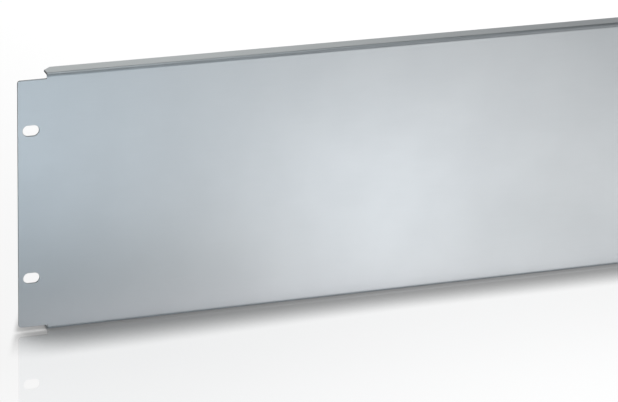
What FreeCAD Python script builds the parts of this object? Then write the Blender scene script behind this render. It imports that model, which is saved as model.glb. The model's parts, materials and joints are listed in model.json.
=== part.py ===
import FreeCAD, Part
import math
import os

# A blanking panel that closes four units of a 19 inch rack.
# It is one steel sheet, cut to its outline and folded back along the top and the bottom.
# Both ends are left flat as ears, with slots for the screws that hold it to the rack's rails.
# The ears are notched clear of the folds, so that the folds pass between the rails.
# X runs along the panel, +Y goes back into the rack, and Z is up.
# The origin is the centre of the sheet's back, the plane that seats on the rails.
# All sizes are in millimetres.

# Sheet
sheet = 1.5
inner_bend_radius = 1.2

# Overall size, outside the folds
panel_width = 482.6
panel_height = 177.0
fold_depth = 13.0

# Ears, each from the panel's end to the end of the folds
ear_width = 19.6
ear_corner_radius = 2.0

# Notch between an ear and a fold: a round inner corner, then a straight cut up to the bend
notch_radius = 0.5
notch_flat = 0.3

# Corner cut off at each end of a fold's back edge
fold_corner_cut = 5.0

# Screw slots, one near each corner: the centre's distance from the panel's end, and from its
# top or bottom, which puts it on the rails' third hole from there
slot_from_end = 8.75
slot_from_top = 37.7
slot_length = 11.0
slot_height = 7.2

# What follows from those sizes
outer_bend_radius = inner_bend_radius + sheet
front = -sheet
fold_edge = front + fold_depth
half_width = panel_width / 2
half_height = panel_height / 2
half_fold = half_width - ear_width
bend_start = half_height - outer_bend_radius
ear_edge = bend_start - notch_flat - notch_radius
slot_across = half_width - slot_from_end
slot_up = half_height - slot_from_top

BACKWARDS = FreeCAD.Vector(0, 1, 0)
UPWARDS = FreeCAD.Vector(0, 0, 1)
RIGHTWARDS = FreeCAD.Vector(1, 0, 0)
ORIGIN = FreeCAD.Vector(0, 0, 0)
SAME_POINT = 1e-7


def on_front(x, z):
    """A point on the front face."""
    return FreeCAD.Vector(x, front, z)


def on_fold_end(y, z):
    """A point on the section that the left end of a fold shows."""
    return FreeCAD.Vector(-half_fold, y, z)


def from_above(x, y):
    """A point in the plan of a fold, level with the start of its bend."""
    return FreeCAD.Vector(x, y, bend_start)


def straight(start, end):
    """The straight edge between two points, or nothing where an arc already ends at the second."""
    if start.distanceToPoint(end) < SAME_POINT:
        return []
    return [Part.LineSegment(start, end).toShape()]


def rounded_loop(corners):
    """A closed outline through (point, radius) corners. A radius of zero leaves the corner sharp."""
    edges = []
    arrivals = []
    departures = []
    for index, (point, radius) in enumerate(corners):
        to_before = (corners[index - 1][0] - point).normalize()
        to_after = (corners[(index + 1) % len(corners)][0] - point).normalize()
        half_angle = to_before.getAngle(to_after) / 2
        setback = radius / math.tan(half_angle)
        arrive = point + to_before * setback
        depart = point + to_after * setback
        if index > 0:
            edges += straight(departures[-1], arrive)
        if radius > 0:
            inwards = (to_before + to_after).normalize()
            middle = point + inwards * (radius / math.sin(half_angle) - radius)
            edges.append(Part.Arc(arrive, middle, depart).toShape())
        arrivals.append(arrive)
        departures.append(depart)
    edges += straight(departures[-1], arrivals[0])
    return Part.Wire(edges)


def pushed(outline, travel):
    """The solid that a filled outline leaves along a straight travel."""
    return Part.Face(outline).extrude(travel)


def flat_sheet():
    """The flat of the panel: both ears, and the face between them up to the start of each bend."""
    right_half = [
        (on_front(half_fold, -bend_start), 0),
        (on_front(half_fold, -ear_edge), notch_radius),
        (on_front(half_width, -ear_edge), ear_corner_radius),
        (on_front(half_width, ear_edge), ear_corner_radius),
        (on_front(half_fold, ear_edge), notch_radius),
        (on_front(half_fold, bend_start), 0),
    ]
    left_half = [(on_front(-point.x, -point.z), radius) for point, radius in right_half]
    return pushed(rounded_loop(right_half + left_half), BACKWARDS * sheet)


def top_fold():
    """The bend and the edge that is turned back, with the two corners of its back edge cut off."""
    section = rounded_loop([
        (on_fold_end(front, bend_start), 0),
        (on_fold_end(front, half_height), outer_bend_radius),
        (on_fold_end(fold_edge, half_height), 0),
        (on_fold_end(fold_edge, half_height - sheet), 0),
        (on_fold_end(0, half_height - sheet), inner_bend_radius),
        (on_fold_end(0, bend_start), 0),
    ])
    plan = Part.makePolygon([
        from_above(-half_fold, front),
        from_above(half_fold, front),
        from_above(half_fold, fold_edge - fold_corner_cut),
        from_above(half_fold - fold_corner_cut, fold_edge),
        from_above(-half_fold + fold_corner_cut, fold_edge),
        from_above(-half_fold, fold_edge - fold_corner_cut),
        from_above(-half_fold, front),
    ])
    fold = pushed(section, RIGHTWARDS * (2 * half_fold))
    return fold.common(pushed(plan, UPWARDS * outer_bend_radius))


def slot(x, z):
    """The space of one screw slot, with round ends, right through the sheet."""
    end_radius = slot_height / 2
    outline = rounded_loop([
        (on_front(x - slot_length / 2, z - end_radius), end_radius),
        (on_front(x + slot_length / 2, z - end_radius), end_radius),
        (on_front(x + slot_length / 2, z + end_radius), end_radius),
        (on_front(x - slot_length / 2, z + end_radius), end_radius),
    ])
    return pushed(outline, BACKWARDS * sheet)


def panel():
    """The finished panel, one solid."""
    upper_fold = top_fold()
    lower_fold = upper_fold.mirror(ORIGIN, UPWARDS)
    blank = flat_sheet().fuse([upper_fold, lower_fold])
    slots = [
        slot(side * slot_across, level * slot_up)
        for side in (-1, 1)
        for level in (-1, 1)
    ]
    return blank.cut(slots).removeSplitter()


os.makedirs("parts", exist_ok=True)
blanking_panel = panel()
blanking_panel.exportStep("parts/blanking_panel.step")
print("blanking_panel: solids", len(blanking_panel.Solids), "valid", blanking_panel.isValid())
print("volume", round(blanking_panel.Volume), "mm3, box", blanking_panel.BoundBox)
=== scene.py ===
# %% [markdown]
# A blanking panel for a 19 inch rack
#
# The real panel is one steel sheet. It is cut flat, its four screw slots are punched, and its
# top and bottom edges are folded back. This lesson makes the sheet the same way in Blender,
# gives it a satin zinc finish, and lights it in a small white studio.
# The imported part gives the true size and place. Blender's own piece has to fill the same box.

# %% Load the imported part
import json
import math

import bmesh
import bpy
from mathutils import Matrix, Vector


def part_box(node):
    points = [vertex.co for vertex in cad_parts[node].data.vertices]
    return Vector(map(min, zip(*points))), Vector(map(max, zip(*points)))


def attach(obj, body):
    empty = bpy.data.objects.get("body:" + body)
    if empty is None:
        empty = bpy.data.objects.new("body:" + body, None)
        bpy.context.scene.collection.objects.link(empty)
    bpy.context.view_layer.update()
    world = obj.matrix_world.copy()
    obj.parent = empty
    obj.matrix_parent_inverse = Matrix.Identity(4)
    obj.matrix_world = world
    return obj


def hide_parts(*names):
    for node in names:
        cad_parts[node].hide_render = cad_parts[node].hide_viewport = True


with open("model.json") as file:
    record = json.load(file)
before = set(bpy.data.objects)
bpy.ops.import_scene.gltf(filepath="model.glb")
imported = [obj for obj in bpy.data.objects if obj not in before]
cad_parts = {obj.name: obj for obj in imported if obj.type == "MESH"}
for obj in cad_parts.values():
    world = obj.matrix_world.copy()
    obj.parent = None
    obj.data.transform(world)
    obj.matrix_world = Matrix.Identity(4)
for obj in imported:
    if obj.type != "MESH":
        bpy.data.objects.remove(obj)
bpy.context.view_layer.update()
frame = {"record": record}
MM = 0.001


def in_mm(values):
    """Metres as rounded millimetres, for printing."""
    return [round(value / MM, 2) for value in values]


# %% [markdown]
# Sizes
#
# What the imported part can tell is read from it: its corners, and the slots' pitch and size
# from its mount. The other sizes are those of the folds and the notches, which a box doesn't
# give. X runs along the panel, Y goes back into the rack, and Z is up.

# %% Read the panel's sizes
panel_low, panel_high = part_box("blanking_panel")
HALF_WIDTH = panel_high.x
HALF_HEIGHT = panel_high.z
FRONT = panel_low.y
FOLD_EDGE = panel_high.y
SHEET = -FRONT

screws = next(m for m in frame["record"]["mounts"] if m["name"] == "rack_screws")["dims"]
SLOT_ACROSS = screws["spacing_x_mm"] / 2 * MM
SLOT_UP = screws["spacing_y_mm"] / 2 * MM
SLOT_END_RADIUS = screws["hole_r_mm"] * MM
SLOT_HALF_STRAIGHT = screws["slot_length_mm"] / 2 * MM - SLOT_END_RADIUS

BEND_RADIUS = 2.7 * MM
EAR_WIDTH = 19.6 * MM
EAR_CORNER_RADIUS = 2.0 * MM
NOTCH_RADIUS = 0.5 * MM
NOTCH_FLAT = 0.3 * MM
FOLD_CORNER_CUT = 5.0 * MM

HALF_FOLD = HALF_WIDTH - EAR_WIDTH
BEND_START = HALF_HEIGHT - BEND_RADIUS
EAR_EDGE = BEND_START - NOTCH_FLAT - NOTCH_RADIUS
print("sheet and fold length, mm:", in_mm([SHEET, 2 * HALF_FOLD]))

# %% [markdown]
# A vertex as a pen
#
# A sheet part starts as an outline. A bmesh vertex can draw one: extruding it leaves a straight
# edge, and spinning it about a centre leaves an arc. A plain list of points would need each
# point of an arc worked out, and here a radius is just a number to change.

# %% Straight edges and arcs on the sheet's front
def line_to(bm, pen, x, z):
    """Extrudes the pen along a straight edge, and returns the vertex at its end."""
    tip = bmesh.ops.extrude_vert_indiv(bm, verts=[pen])["verts"][0]
    bmesh.ops.translate(bm, verts=[tip], vec=Vector((x, FRONT, z)) - tip.co)
    return tip


def arc_about(bm, pen, x, z, degrees, steps):
    """Spins the pen about a centre, from +X towards +Z if positive, and returns its end."""
    spun = bmesh.ops.spin(
        bm, geom=[pen], cent=(x, FRONT, z), axis=(0, -1, 0), dvec=(0, 0, 0),
        angle=math.radians(degrees), steps=steps, use_merge=False,
    )
    return next(part for part in spun["geom_last"] if isinstance(part, bmesh.types.BMVert))


# %% [markdown]
# One quarter of the flat sheet
#
# The panel is its own mirror image left to right and top to bottom, so its upper right quarter
# is enough. A bmesh face can't have a hole in it. A line along the slot's middle therefore
# splits the quarter in two: one face passes over the slot, and the other passes under it.

# %% Draw the quarter above and below the slot's middle line
SLOT_STEPS = 10
CORNER_STEPS = 8
NOTCH_STEPS = 4
SLOT_LEFT = SLOT_ACROSS - SLOT_HALF_STRAIGHT
SLOT_RIGHT = SLOT_ACROSS + SLOT_HALF_STRAIGHT


def above_slot(bm, pen):
    """Goes over the slot, round the ear's corner and through the notch to the bend."""
    corner_x = HALF_WIDTH - EAR_CORNER_RADIUS
    corner_z = EAR_EDGE - EAR_CORNER_RADIUS
    pen = line_to(bm, pen, SLOT_LEFT - SLOT_END_RADIUS, SLOT_UP)
    pen = arc_about(bm, pen, SLOT_LEFT, SLOT_UP, -90, SLOT_STEPS)
    pen = line_to(bm, pen, SLOT_RIGHT, SLOT_UP + SLOT_END_RADIUS)
    pen = arc_about(bm, pen, SLOT_RIGHT, SLOT_UP, -90, SLOT_STEPS)
    pen = line_to(bm, pen, HALF_WIDTH, SLOT_UP)
    pen = line_to(bm, pen, HALF_WIDTH, corner_z)
    pen = arc_about(bm, pen, corner_x, corner_z, 90, CORNER_STEPS)
    pen = line_to(bm, pen, HALF_FOLD + NOTCH_RADIUS, EAR_EDGE)
    pen = arc_about(bm, pen, HALF_FOLD + NOTCH_RADIUS, EAR_EDGE + NOTCH_RADIUS, -90, NOTCH_STEPS)
    pen = line_to(bm, pen, HALF_FOLD, BEND_START)
    pen = line_to(bm, pen, 0, BEND_START)
    line_to(bm, pen, 0, SLOT_UP)


def below_slot(bm, pen):
    """Goes along the panel's middle, up its end and back under the slot."""
    pen = line_to(bm, pen, HALF_WIDTH, 0)
    pen = line_to(bm, pen, HALF_WIDTH, SLOT_UP)
    pen = line_to(bm, pen, SLOT_RIGHT + SLOT_END_RADIUS, SLOT_UP)
    pen = arc_about(bm, pen, SLOT_RIGHT, SLOT_UP, -90, SLOT_STEPS)
    pen = line_to(bm, pen, SLOT_LEFT, SLOT_UP - SLOT_END_RADIUS)
    pen = arc_about(bm, pen, SLOT_LEFT, SLOT_UP, -90, SLOT_STEPS)
    pen = line_to(bm, pen, 0, SLOT_UP)
    line_to(bm, pen, 0, 0)


# %% Fill each outline with one face
SAME_PLACE = 0.001 * MM


def fill(bm, outline, start_z):
    """Draws an outline from the panel's middle line, closes it and fills it."""
    pen = bmesh.ops.create_vert(bm, co=(0, FRONT, start_z))["vert"][0]
    outline(bm, pen)
    drawn = [vert for vert in bm.verts if not vert.link_faces]
    bmesh.ops.remove_doubles(bm, verts=drawn, dist=SAME_PLACE)
    edges = [edge for edge in bm.edges if not edge.link_faces]
    bmesh.ops.contextual_create(bm, geom=edges)


sheet = bmesh.new()
fill(sheet, above_slot, SLOT_UP)
fill(sheet, below_slot, 0)
bmesh.ops.remove_doubles(sheet, verts=sheet.verts[:], dist=SAME_PLACE)
print("flat quarter:", len(sheet.faces), "faces,", len(sheet.verts), "vertices")

# %% [markdown]
# Folding the edge back
#
# A press brake bends the sheet about a line, and its outside keeps a true radius. Spinning the
# top edge about that line makes the same round. Beyond the bend the edge runs straight back,
# and its last stretch narrows, because the real sheet has that corner cut off.

# %% Spin the bend and extrude the turned edge
BEND_STEPS = 16


def pushed_back(bm, edges, y):
    """Extrudes edges straight back to a depth, and returns the new edges and vertices."""
    grown = bmesh.ops.extrude_edge_only(bm, edges=edges)["geom"]
    verts = [part for part in grown if isinstance(part, bmesh.types.BMVert)]
    bmesh.ops.translate(bm, verts=verts, vec=(0, y - verts[0].co.y, 0))
    new_edges = [
        part for part in grown
        if isinstance(part, bmesh.types.BMEdge) and all(vert in verts for vert in part.verts)
    ]
    return new_edges, verts


bend_line = [e for e in sheet.edges if all(v.co.z > BEND_START - SAME_PLACE for v in e.verts)]
bend_ends = list({vert for edge in bend_line for vert in edge.verts})
bend = bmesh.ops.spin(
    sheet, geom=bend_line + bend_ends, cent=(0, FRONT + BEND_RADIUS, BEND_START),
    axis=(1, 0, 0), dvec=(0, 0, 0), angle=math.radians(-90), steps=BEND_STEPS, use_merge=False,
)
bend_edge = [part for part in bend["geom_last"] if isinstance(part, bmesh.types.BMEdge)]
long_edge, _ = pushed_back(sheet, bend_edge, FOLD_EDGE - FOLD_CORNER_CUT)
_, back_verts = pushed_back(sheet, long_edge, FOLD_EDGE)
back_corner = max(back_verts, key=lambda vert: vert.co.x)
bmesh.ops.translate(sheet, verts=[back_corner], vec=(-FOLD_CORNER_CUT, 0, 0))
print("highest point, mm:", round(max(vert.co.z for vert in sheet.verts) / MM, 3))

# %% [markdown]
# From a quarter to the whole skin
#
# Mirroring twice makes the full outside of the panel. A mirror turns faces inside out, so the
# normals are made to agree afterwards, while the skin is still one open surface. They must all
# point out of the front, because the thickness is added on the other side.

# %% Mirror left and right, top and bottom
for axis in ("X", "Z"):
    bmesh.ops.mirror(
        sheet, geom=sheet.verts[:] + sheet.edges[:] + sheet.faces[:],
        matrix=Matrix.Identity(4), merge_dist=SAME_PLACE, axis=axis,
    )
bmesh.ops.remove_doubles(sheet, verts=sheet.verts[:], dist=SAME_PLACE)
bmesh.ops.recalc_face_normals(sheet, faces=sheet.faces[:])
largest = max(sheet.faces, key=lambda face: face.calc_area())
if largest.normal.y > 0:
    bmesh.ops.reverse_faces(sheet, faces=sheet.faces[:])
print("skin:", len(sheet.faces), "faces, largest faces", tuple(round(c) for c in largest.normal))

# %% [markdown]
# Thickness and broken edges
#
# Solidify gives the skin the sheet's thickness. Punching and cutting leave a small burr that
# is knocked off, so every cut edge gets a tiny round bevel. Without it the edges would look
# like paper, and a metal's edges would miss the thin bright line that shows where they are.

# %% Thicken the sheet and round its cut edges
CUT_EDGE_ROUND = 0.3 * MM
CUT_ANGLE = math.radians(60)

bmesh.ops.solidify(sheet, geom=sheet.faces[:], thickness=SHEET)
bmesh.ops.recalc_face_normals(sheet, faces=sheet.faces[:])
cut_edges = [edge for edge in sheet.edges if edge.calc_face_angle(0) > CUT_ANGLE]
bmesh.ops.bevel(
    sheet, geom=cut_edges, offset=CUT_EDGE_ROUND, offset_type="OFFSET", segments=3,
    profile=0.5, affect="EDGES", material=-1, clamp_overlap=True,
)
print("solid sheet:", len(sheet.faces), "faces,", len(cut_edges), "cut edges rounded")

# %% Hand the sheet over as the finished piece
def as_object(name, bm):
    """Turns a bmesh into a smooth object at the origin."""
    mesh = bpy.data.meshes.new(name)
    bm.to_mesh(mesh)
    bm.free()
    mesh.shade_smooth()
    made = bpy.data.objects.new(name, mesh)
    bpy.context.scene.collection.objects.link(made)
    return made


panel = as_object("blanking_panel_sheet", sheet)
flat_shading = panel.modifiers.new("flats stay flat", "WEIGHTED_NORMAL")
flat_shading.weight = 100
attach(panel, "root")
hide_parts("blanking_panel")

# %% [markdown]
# Where the sheet was cut
#
# Cut edges are duller than the rolled face. Where they are can be worked out from a point's
# position alone. A point's distance from the bend's axis, counted only on the side where the
# sheet bends, tells how deep it lies in the sheet, on the flat, in the bend and on the fold
# alike. A node group does that sum, so that no mask has to be painted.

# %% Node helpers
def new_group(name, inputs, outputs):
    """An empty node group with named sockets, and its input and output nodes."""
    group = bpy.data.node_groups.new(name, "ShaderNodeTree")
    for socket, kind, value in inputs:
        made = group.interface.new_socket(socket, in_out="INPUT", socket_type=kind)
        if value is not None:
            made.default_value = value
    for socket, kind in outputs:
        group.interface.new_socket(socket, in_out="OUTPUT", socket_type=kind)
    return group, group.nodes.new("NodeGroupInput"), group.nodes.new("NodeGroupOutput")


def math_node(tree, operation, *values):
    """A Math node. Each value is a number or another node's output."""
    node = tree.nodes.new("ShaderNodeMath")
    node.operation = operation
    for socket, value in zip(node.inputs, values):
        if isinstance(value, (int, float)):
            socket.default_value = value
        else:
            tree.links.new(value, socket)
    return node.outputs[0]


def ramp(tree, value, low, high, to_low, to_high):
    """Maps a value smoothly from one range to another, and holds it at the ends."""
    node = tree.nodes.new("ShaderNodeMapRange")
    node.interpolation_type = "SMOOTHSTEP"
    for socket, number in zip(node.inputs[1:5], (low, high, to_low, to_high)):
        socket.default_value = number
    tree.links.new(value, node.inputs["Value"])
    return node.outputs["Result"]


# %% The group that finds cut edges
MASK_STARTS = 0.1 * CUT_EDGE_ROUND


def build_sheet_places():
    """Outputs a mask that is 1 on a cut edge and 0 on the sheet's two skins."""
    group, given, result = new_group(
        "sheet places",
        [("Position", "NodeSocketVector", None)],
        [("Cut Edge", "NodeSocketFloat")],
    )
    axes = group.nodes.new("ShaderNodeSeparateXYZ")
    group.links.new(given.outputs["Position"], axes.inputs[0])
    forward = math_node(group, "SUBTRACT", FRONT + BEND_RADIUS, axes.outputs["Y"])
    forward = math_node(group, "MAXIMUM", forward, 0.0)
    height = math_node(group, "ABSOLUTE", axes.outputs["Z"])
    outward = math_node(group, "MAXIMUM", math_node(group, "SUBTRACT", height, BEND_START), 0.0)
    from_axis = math_node(
        group, "SQRT",
        math_node(group, "ADD", math_node(group, "POWER", forward, 2.0),
                  math_node(group, "POWER", outward, 2.0)),
    )
    depth = math_node(group, "SUBTRACT", BEND_RADIUS, from_axis)
    to_skin = math_node(group, "MINIMUM", depth, math_node(group, "SUBTRACT", SHEET, depth))
    cut = ramp(group, to_skin, MASK_STARTS, CUT_EDGE_ROUND, 0.0, 1.0)
    group.links.new(cut, result.inputs["Cut Edge"])
    return group


sheet_places = build_sheet_places()
print("cut edge group's sockets:", [item.name for item in sheet_places.interface.items_tree])

# %% [markdown]
# The look of rolled, plated steel
#
# Steel sheet is rolled, so its surface has a fine grain along the panel that is far longer
# than it is wide. The zinc on it grows a little unevenly and leaves a faint cloudiness in its
# tint and gloss. Both are noise at two very different scales. The grain is one group: it
# stretches its noise along X, so that each streak is a line and not a dot.

# %% The group that draws the rolled grain
def build_rolled_grain():
    """Streaks along the sheet, from 0 to 1, of a chosen length and width."""
    group, given, result = new_group(
        "rolled grain",
        [("Position", "NodeSocketVector", None), ("Streak Length", "NodeSocketFloat", 0.02),
         ("Streak Width", "NodeSocketFloat", 0.0004)],
        [("Streaks", "NodeSocketFloat")],
    )
    density = group.nodes.new("ShaderNodeCombineXYZ")
    along = math_node(group, "DIVIDE", 1.0, given.outputs["Streak Length"])
    across = math_node(group, "DIVIDE", 1.0, given.outputs["Streak Width"])
    for socket, value in zip(density.inputs, (along, across, across)):
        group.links.new(value, socket)
    stretched = group.nodes.new("ShaderNodeVectorMath")
    stretched.operation = "MULTIPLY"
    group.links.new(given.outputs["Position"], stretched.inputs[0])
    group.links.new(density.outputs[0], stretched.inputs[1])
    noise = group.nodes.new("ShaderNodeTexNoise")
    noise.inputs["Scale"].default_value = 1.0
    noise.inputs["Detail"].default_value = 2.0
    group.links.new(stretched.outputs[0], noise.inputs["Vector"])
    group.links.new(noise.outputs["Fac"], result.inputs["Streaks"])
    return group


# %% The group that draws the plating's clouds
CLOUD_SPREAD = (0.3, 0.7)


def build_cloud():
    """Soft clouds from 0 to 1, of a chosen size."""
    group, given, result = new_group(
        "plating cloud",
        [("Position", "NodeSocketVector", None), ("Cloud Size", "NodeSocketFloat", 0.04)],
        [("Cloud", "NodeSocketFloat")],
    )
    noise = group.nodes.new("ShaderNodeTexNoise")
    noise.inputs["Detail"].default_value = 4.0
    noise.inputs["Roughness"].default_value = 0.55
    density = math_node(group, "DIVIDE", 1.0, given.outputs["Cloud Size"])
    group.links.new(density, noise.inputs["Scale"])
    group.links.new(given.outputs["Position"], noise.inputs["Vector"])
    spread = ramp(group, noise.outputs["Fac"], *CLOUD_SPREAD, 0.0, 1.0)
    group.links.new(spread, result.inputs["Cloud"])
    return group


rolled_grain = build_rolled_grain()
plating_cloud = build_cloud()
print("finish groups:", rolled_grain.name, "and", plating_cloud.name)

# %% [markdown]
# The zinc finish
#
# Bare zinc plate is a metal, so Metallic stays at 1 and the colour comes from its reflections.
# Its satin gloss is the main thing to get right: too smooth and the panel turns into a mirror,
# too rough and it looks like grey paint. The colour and roughness only move a little about
# their middle values, and most where the sheet was cut.

# %% Helpers that place a group and mix two colours
def place_group(tree, group, position, **values):
    """Places a node group, feeds it a position and sets its other inputs."""
    node = tree.nodes.new("ShaderNodeGroup")
    node.node_tree = group
    tree.links.new(position, node.inputs["Position"])
    for name, value in values.items():
        node.inputs[name.replace("_", " ")].default_value = value
    return node


def blend(tree, amount, low, high):
    """Mixes two colours. Each is a colour or another node's output."""
    node = tree.nodes.new("ShaderNodeMix")
    node.data_type = "RGBA"
    tree.links.new(amount, node.inputs["Factor"])
    for socket, value in ((node.inputs[6], low), (node.inputs[7], high)):
        if isinstance(value, tuple):
            socket.default_value = (*value, 1.0)
        else:
            tree.links.new(value, socket)
    return node.outputs[2]


# %% Build the material
ZINC = (0.476, 0.502, 0.522)
CLOUDED_ZINC = (0.467, 0.492, 0.512)
CUT_STEEL = (0.43, 0.44, 0.445)
SATIN = 0.42

STREAK_LENGTH, STREAK_WIDTH = 30 * MM, 0.5 * MM
STREAK_SPREAD = (0.2, 0.8)
STREAKS_IN_GLOSS = 0.03
CLOUD_SIZE = 50 * MM
CLOUD_IN_GLOSS = 0.02
CUT_EDGE_DULLER = 0.15
GRAIN_DEPTH, GRAIN_STRENGTH = 0.02 * MM, 0.05


def zinc_material():
    """Satin zinc plate on rolled steel sheet."""
    material = bpy.data.materials.new("satin zinc plate")
    material.use_nodes = True
    tree = material.node_tree
    shader = tree.nodes["Principled BSDF"]
    position = tree.nodes.new("ShaderNodeTexCoord").outputs["Object"]
    places = place_group(tree, sheet_places, position)
    grain = place_group(
        tree, rolled_grain, position, Streak_Length=STREAK_LENGTH, Streak_Width=STREAK_WIDTH
    )
    cloud = place_group(tree, plating_cloud, position, Cloud_Size=CLOUD_SIZE)

    tint = blend(tree, cloud.outputs["Cloud"], ZINC, CLOUDED_ZINC)
    tint = blend(tree, places.outputs["Cut Edge"], tint, CUT_STEEL)
    tree.links.new(tint, shader.inputs["Base Color"])

    rough = ramp(
        tree, grain.outputs["Streaks"], *STREAK_SPREAD,
        SATIN - STREAKS_IN_GLOSS, SATIN + STREAKS_IN_GLOSS,
    )
    rough = math_node(tree, "MULTIPLY_ADD", cloud.outputs["Cloud"], CLOUD_IN_GLOSS, rough)
    rough = math_node(tree, "MULTIPLY_ADD", places.outputs["Cut Edge"], CUT_EDGE_DULLER, rough)
    tree.links.new(rough, shader.inputs["Roughness"])

    bump = tree.nodes.new("ShaderNodeBump")
    bump.inputs["Strength"].default_value = GRAIN_STRENGTH
    bump.inputs["Distance"].default_value = GRAIN_DEPTH
    tree.links.new(grain.outputs["Streaks"], bump.inputs["Height"])
    tree.links.new(bump.outputs["Normal"], shader.inputs["Normal"])
    shader.inputs["Metallic"].default_value = 1.0
    return material


panel.data.materials.append(zinc_material())
print("material:", panel.data.materials[0].name)

# %% [markdown]
# The camera
#
# A long lens far away keeps the panel's edges nearly parallel, as in a catalogue picture. The
# camera stands in front, to the left and above. It is turned to its heading first, then tipped
# down, and rolled last, and so the three angles stay independent.

# %% Aim the camera
HEADING = math.radians(20.498)
TIP_DOWN = math.radians(20.679)
ROLL = math.radians(1.604)
AIM = Vector((-0.04096, 0.0, -0.01763))
CAMERA_DISTANCE = 2.2176
LENS_MM = 193.95
SENSOR_MM = 36.0
NEAREST_SEEN = 0.01

turned = (
    Matrix.Rotation(-HEADING, 4, "Z")
    @ Matrix.Rotation(math.radians(90) - TIP_DOWN, 4, "X")
    @ Matrix.Rotation(ROLL, 4, "Z")
)
camera_data = bpy.data.cameras.new("camera")
camera_data.lens = LENS_MM
camera_data.sensor_width = SENSOR_MM
camera_data.sensor_fit = "HORIZONTAL"
camera_data.clip_start = NEAREST_SEEN
camera = bpy.data.objects.new("camera", camera_data)
looking = turned.to_3x3() @ Vector((0, 0, -1))
camera.matrix_world = Matrix.Translation(AIM - looking * CAMERA_DISTANCE) @ turned
bpy.context.scene.collection.objects.link(camera)
bpy.context.scene.camera = camera
print("camera at, m:", [round(c, 3) for c in camera.matrix_world.translation])

# %% [markdown]
# Pools of light on the floor
#
# The panel's face looks down at the floor in front of it, so what it mirrors is mostly floor.
# A photographer shapes that mirror image with bright cards that lie just outside the picture.
# Here each card is a soft pool of light with no edge: an ellipse that fades like a bell curve.
# A node group draws one pool, and takes its centre, its turn and its two half widths. The pools
# were fitted to the photo: each one's share of the face's tones was rendered alone, and then
# the brightness and tint of all of them, and of the lamps, were solved for together.

# %% The group that draws a pool
def build_pool():
    """A bell-shaped ellipse on the floor, 1 in its centre."""
    group, given, result = new_group(
        "pool of light",
        [("Position", "NodeSocketVector", None), ("Centre", "NodeSocketVector", None),
         ("Turn", "NodeSocketVector", None), ("Half Widths", "NodeSocketVector", None)],
        [("Brightness", "NodeSocketFloat")],
    )
    placed = group.nodes.new("ShaderNodeMapping")
    placed.vector_type = "TEXTURE"
    for name, socket in (("Position", "Vector"), ("Centre", "Location"),
                         ("Turn", "Rotation"), ("Half Widths", "Scale")):
        group.links.new(given.outputs[name], placed.inputs[socket])
    squared = group.nodes.new("ShaderNodeVectorMath")
    squared.operation = "DOT_PRODUCT"
    for socket in squared.inputs[:2]:
        group.links.new(placed.outputs["Vector"], socket)
    fading = math_node(group, "MULTIPLY", squared.outputs["Value"], -0.5)
    group.links.new(math_node(group, "EXPONENT", fading), result.inputs["Brightness"])
    return group


pool_of_light = build_pool()
print("pool group's sockets:", [item.name for item in pool_of_light.interface.items_tree])

# %% [markdown]
# The studio floor
#
# The panel stands on a glossy white sheet. A catalogue picture is exposed so that this sheet
# comes out pure white, and only the contact shadow and a faint mirror image are left of it.
# Two floors share that work. This one is never seen: it is white, the lamps light it, the pools
# glow in it, and the panel mirrors it. Behind the panel's left end a black patch is painted on
# it as painted shade, where only edges that look to the left can mirror it: in the photo they
# are dark, with white all round. Behind the rest of the panel this floor glows evenly, or the
# panel's back would look almost black.

# %% A floor at any height
FLOOR_HALF_SIZE = 8.0


def floor_at(name, z):
    """A wide floor at a height, with a new material, its shader and its position sockets."""
    mesh = bmesh.new()
    bmesh.ops.create_grid(
        mesh, x_segments=1, y_segments=1, size=FLOOR_HALF_SIZE,
        matrix=Matrix.Translation((0, 0, z)),
    )
    made = as_object(name, mesh)
    material = bpy.data.materials.new(name)
    material.use_nodes = True
    made.data.materials.append(material)
    tree = material.node_tree
    position = tree.nodes.new("ShaderNodeTexCoord").outputs["Object"]
    axes = tree.nodes.new("ShaderNodeSeparateXYZ")
    tree.links.new(position, axes.inputs[0])
    return made, tree, tree.nodes["Principled BSDF"], position, axes


# %% Lay the floor that light falls on, with its patch of painted shade
FLOOR_WHITE, PAINTED_SHADE_BLACK = 0.8, 0.02
LIT_ROUGHNESS = 0.12
FLOOR_GAP = 0.1 * MM
PAINTED_SHADE_EDGE = (-HALF_WIDTH - 60 * MM, -HALF_WIDTH + 10 * MM)
PAINTED_SHADE_FRONT = (0.0, 20 * MM)

lit_z = panel_low.z - FLOOR_GAP
floor, floor_tree, lit_floor, floor_position, floor_axes = floor_at("studio_floor", lit_z)
floor.visible_camera = False
# Painted shade: the floor's colour turns black in a patch behind the panel's left end, for the
# left-facing edges to mirror.
off_painted_shade = math_node(
    floor_tree, "MAXIMUM",
    ramp(floor_tree, floor_axes.outputs["X"], *PAINTED_SHADE_EDGE, 0.0, 1.0),
    ramp(floor_tree, floor_axes.outputs["Y"], *PAINTED_SHADE_FRONT, 1.0, 0.0),
)
floor_colour = blend(floor_tree, off_painted_shade, (PAINTED_SHADE_BLACK,) * 3, (FLOOR_WHITE,) * 3)
floor_tree.links.new(floor_colour, lit_floor.inputs["Base Color"])
lit_floor.inputs["Roughness"].default_value = LIT_ROUGHNESS
lit_floor.inputs["Emission Strength"].default_value = 1.0
print("lit floor at z, mm:", round(lit_z / MM, 2))

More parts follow.
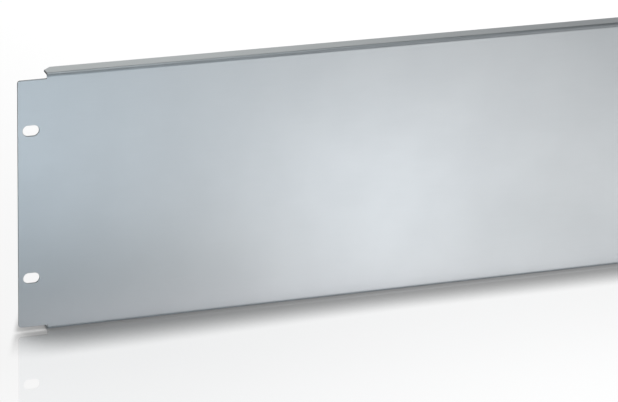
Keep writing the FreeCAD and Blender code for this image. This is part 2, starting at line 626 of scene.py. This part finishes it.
# %% Add up the pools of light
POOLS = (
    # centre x, y, half widths along and across, all in millimetres, turn in radians, colour
    (-200, -350, 150, 120, 0.0, (1.12, 1.29, 1.44)),
    (0, -320, 130, 110, 0.0, (0.41, 0.37, 0.35)),
    (200, -450, 150, 120, 0.0, (1.18, 1.06, 0.95)),
    (439, -401, 129, 238, 0.45, (0.91, 0.92, 0.94)),
    (105, -215, 54, 123, 0.64, (1.47, 1.50, 1.56)),
    (300, -150, 100, 60, 0.0, (1.10, 1.05, 1.01)),
    (0, -120, 120, 60, 0.0, (0.56, 0.50, 0.44)),
    (150, -40, 120, 40, 0.0, (0.52, 0.52, 0.51)),
    (0, -20, 260, 25, 0.0, (0.60, 0.55, 0.54)),
)
pools_so_far = None
for x, y, along, across, turn_angle, colour in POOLS:
    pool = place_group(
        floor_tree, pool_of_light, floor_position,
        Centre=(x * MM, y * MM, lit_z), Turn=(0.0, 0.0, turn_angle),
        Half_Widths=(along * MM, across * MM, 1.0),
    )
    added = floor_tree.nodes.new("ShaderNodeVectorMath")
    added.operation = "MULTIPLY_ADD"
    floor_tree.links.new(pool.outputs["Brightness"], added.inputs[0])
    added.inputs[1].default_value = colour
    if pools_so_far:
        floor_tree.links.new(pools_so_far, added.inputs[2])
    pools_so_far = added.outputs["Vector"]
print("pools of light:", len(POOLS))

# %% End the pools at the panel, and light the floor behind it
POOLS_END = (-6.5 * MM, 0.0)
BACK_STARTS = (0.0, 60 * MM)
BACK_GLOW = (0.45, 0.46, 0.47)

clear_of_panel = ramp(floor_tree, floor_axes.outputs["Y"], *POOLS_END, 1.0, 0.0)
ended = floor_tree.nodes.new("ShaderNodeVectorMath")
ended.operation = "SCALE"
floor_tree.links.new(pools_so_far, ended.inputs[0])
floor_tree.links.new(clear_of_panel, ended.inputs["Scale"])
behind_panel = math_node(
    floor_tree, "MULTIPLY", off_painted_shade,
    ramp(floor_tree, floor_axes.outputs["Y"], *BACK_STARTS, 0.0, 1.0),
)
with_back = floor_tree.nodes.new("ShaderNodeVectorMath")
with_back.operation = "MULTIPLY_ADD"
floor_tree.links.new(behind_panel, with_back.inputs[0])
with_back.inputs[1].default_value = BACK_GLOW
floor_tree.links.new(ended.outputs["Vector"], with_back.inputs[2])
floor_tree.links.new(with_back.outputs["Vector"], lit_floor.inputs["Emission Color"])
print("lit floor's nodes:", len(floor_tree.nodes))

# %% [markdown]
# The floor that the camera sees
#
# A second floor is there for the camera alone. It glows white, mirrors the panel faintly and
# takes no light from the lamps. Its contact shadow comes from Ambient Occlusion, which tells
# how much of the space above a point is free: 1 on open floor, and 0.5 at the foot of a wall.
# Its square, counted from that foot, falls off as the soft shadow of a large lamp does. The
# floor also dims a little over the last 200 mm in front of the panel, as the tail of that
# shadow, and stays so behind it. In the photo more light comes from the right, so the shadow is
# shorter and lighter there, and the floor is a little brighter. Just past the panel's left end
# the shadow fades out, along a slanting line.

# %% Lay the camera's floor
SEEN_ROUGHNESS = 0.04
SEEN_IOR = 1.8

camera_floor, seen_tree, seen_floor, _, seen_axes = floor_at("camera_floor", panel_low.z)
camera_floor.visible_diffuse = False
camera_floor.visible_glossy = False
camera_floor.visible_shadow = False
seen_floor.inputs["Base Color"].default_value = (0.0, 0.0, 0.0, 1.0)
seen_floor.inputs["Roughness"].default_value = SEEN_ROUGHNESS
seen_floor.inputs["IOR"].default_value = SEEN_IOR
seen_floor.inputs["Emission Strength"].default_value = 1.0
print("camera's floor at z, mm:", round(panel_low.z / MM, 2))

# %% Its glow, and the long tail of the shadow
GLOW_LEFT, GLOW_RIGHT = 0.83, 0.93
GLOW_RISES = (-350 * MM, 150 * MM)
SHADOW_TAIL = (-220 * MM, -20 * MM)
TAIL_FAR, TAIL_NEAR = 1.03, 0.94

along_panel = seen_axes.outputs["X"]
glow = ramp(seen_tree, along_panel, *GLOW_RISES, GLOW_LEFT, GLOW_RIGHT)
tail = ramp(seen_tree, seen_axes.outputs["Y"], *SHADOW_TAIL, TAIL_FAR, TAIL_NEAR)
glow = math_node(seen_tree, "MULTIPLY", glow, tail)
print("floor's glow from left to right:", GLOW_LEFT, "to", GLOW_RIGHT)

# %% Its contact shadow
REACH_LEFT, REACH_RIGHT = 46 * MM, 35 * MM
CONTACT_LEFT, CONTACT_RIGHT = 0.2, 0.275
SHADOW_EASES = (-HALF_WIDTH, 30 * MM)
SHADOW_END = (-HALF_WIDTH - 5 * MM, -HALF_WIDTH)
SHADOW_SLANT = 0.37

contact = ramp(seen_tree, along_panel, *SHADOW_EASES, CONTACT_LEFT, CONTACT_RIGHT)
closeness = seen_tree.nodes.new("ShaderNodeAmbientOcclusion")
seen_tree.links.new(
    ramp(seen_tree, along_panel, *SHADOW_EASES, REACH_LEFT, REACH_RIGHT),
    closeness.inputs["Distance"],
)
from_foot = math_node(seen_tree, "MULTIPLY_ADD", closeness.outputs["AO"], 2.0, -1.0)
from_foot = math_node(seen_tree, "MAXIMUM", from_foot, 0.0)
from_foot = math_node(seen_tree, "MULTIPLY", from_foot, from_foot)
light_lost = math_node(
    seen_tree, "MULTIPLY",
    math_node(seen_tree, "SUBTRACT", 1.0, contact),
    math_node(seen_tree, "SUBTRACT", 1.0, from_foot),
)
sideways = math_node(
    seen_tree, "MULTIPLY_ADD", seen_axes.outputs["Y"], -SHADOW_SLANT, along_panel
)
beside_panel = ramp(seen_tree, sideways, *SHADOW_END, 0.0, 1.0)
light_lost = math_node(seen_tree, "MULTIPLY", light_lost, beside_panel)
shade = math_node(seen_tree, "SUBTRACT", 1.0, light_lost)
seen_tree.links.new(
    math_node(seen_tree, "MULTIPLY", shade, glow), seen_floor.inputs["Emission Color"]
)
print("shadow's reach at left and right, mm:", in_mm([REACH_LEFT, REACH_RIGHT]))

# %% [markdown]
# Lamps
#
# A satin metal shows its lamps as soft patches, so all lamps are large. The low one at the front
# left is cool and gives the face's left half its blue. The others are weaker and shape the bend,
# the fold and the floor that the panel mirrors. The camera never sees a lamp, nor does its own
# floor mirror one: light linking leaves that floor out, so that no bright square shows in it
# from any side. All lamps point a little to the right of the panel's middle and below it.

# %% Hang the soft boxes
BOX_SIZE = 0.7
LIT_POINT = Vector((0.1, 0.0, -0.05))
WHITE = (1.0, 1.0, 1.0)
COOL = (0.86, 1.0, 1.08)
PALE_COOL = (0.95, 1.0, 1.02)
WARM = (1.0, 1.0, 0.94)


def soft_box(name, place, power, tint):
    """A square lamp at a place, turned towards the point that all lamps share."""
    lamp = bpy.data.lights.new(name, "AREA")
    lamp.shape = "SQUARE"
    lamp.size = BOX_SIZE
    lamp.energy = power
    lamp.color = tint
    box = bpy.data.objects.new(name, lamp)
    box.location = place
    box.rotation_euler = (LIT_POINT - Vector(place)).to_track_quat("-Z", "Y").to_euler()
    box.visible_camera = False
    bpy.context.scene.collection.objects.link(box)
    return box


lamps = [
    soft_box("front left box", (-0.528, -1.088, 0.286), 6.85, COOL),
    soft_box("front right high box", (0.598, -0.862, 0.786), 1.49, WHITE),
    soft_box("overhead box", (0.1, -0.045, 1.25), 2.6, PALE_COOL),
    soft_box("rear box", (0.1, 0.996, 0.786), 1.16, WARM),
]

# %% Keep the lamps off the camera's floor
unlit = bpy.data.collections.new("not lit by the lamps")
unlit.objects.link(camera_floor)
unlit.collection_objects[0].light_linking.link_state = "EXCLUDE"
for box in lamps:
    box.light_linking.receiver_collection = unlit
print("lamps:", len(lamps), "with", round(sum(box.data.energy for box in lamps), 1), "watts")

# %% [markdown]
# The room
#
# Behind the panel stands a white wall that the floor and the folded edge mirror. It is lit up
# to a good height and fades out on the left, which keeps the panel's left end dark. The room's
# two ends glow too, so that the folds don't look black along the panel. The rest of the room is
# dark, and to the camera itself the room is plain white. Each limit is one part of a direction
# of length 1: the wall's top, at 0.52, is seen about 31 degrees above the level.

# %% Light the room behind the panel
WALL_GLOW = 0.68
SIDE_GLOW = 0.5
WALL_TOP = (0.52, 0.62)
WALL_FRONT = (-0.2, 0.2)
WALL_LEFT = (-0.4, 0.0)
SIDES_START = (0.8, 0.95)

world = bpy.data.worlds.new("studio")
world.use_nodes = True
room = world.node_tree
looking_at = room.nodes.new("ShaderNodeSeparateXYZ")
room.links.new(room.nodes.new("ShaderNodeTexCoord").outputs["Generated"], looking_at.inputs[0])
low = ramp(room, looking_at.outputs["Z"], *WALL_TOP, WALL_GLOW, 0.0)
behind = ramp(room, looking_at.outputs["Y"], *WALL_FRONT, 0.0, 1.0)
rightwards = ramp(room, looking_at.outputs["X"], *WALL_LEFT, 0.0, 1.0)
wall = math_node(room, "MULTIPLY", math_node(room, "MULTIPLY", low, behind), rightwards)
towards_ends = math_node(room, "ABSOLUTE", looking_at.outputs["X"])
sides = ramp(room, towards_ends, *SIDES_START, 0.0, SIDE_GLOW)
wall = math_node(room, "MAXIMUM", wall, sides)
to_camera = room.nodes.new("ShaderNodeLightPath").outputs["Is Camera Ray"]
room.links.new(
    math_node(room, "MAXIMUM", wall, to_camera), room.nodes["Background"].inputs["Strength"]
)
room.nodes["Background"].inputs["Color"].default_value = (1.0, 1.0, 1.0, 1.0)
bpy.context.scene.world = world
print("room:", world.name, "with", len(room.nodes), "nodes")

# %% [markdown]
# Last checks
# The view
# The render shows its colours through Blender's plain Standard view.

# %% Set the view and finish
bpy.context.scene.view_settings.view_transform = "Standard"
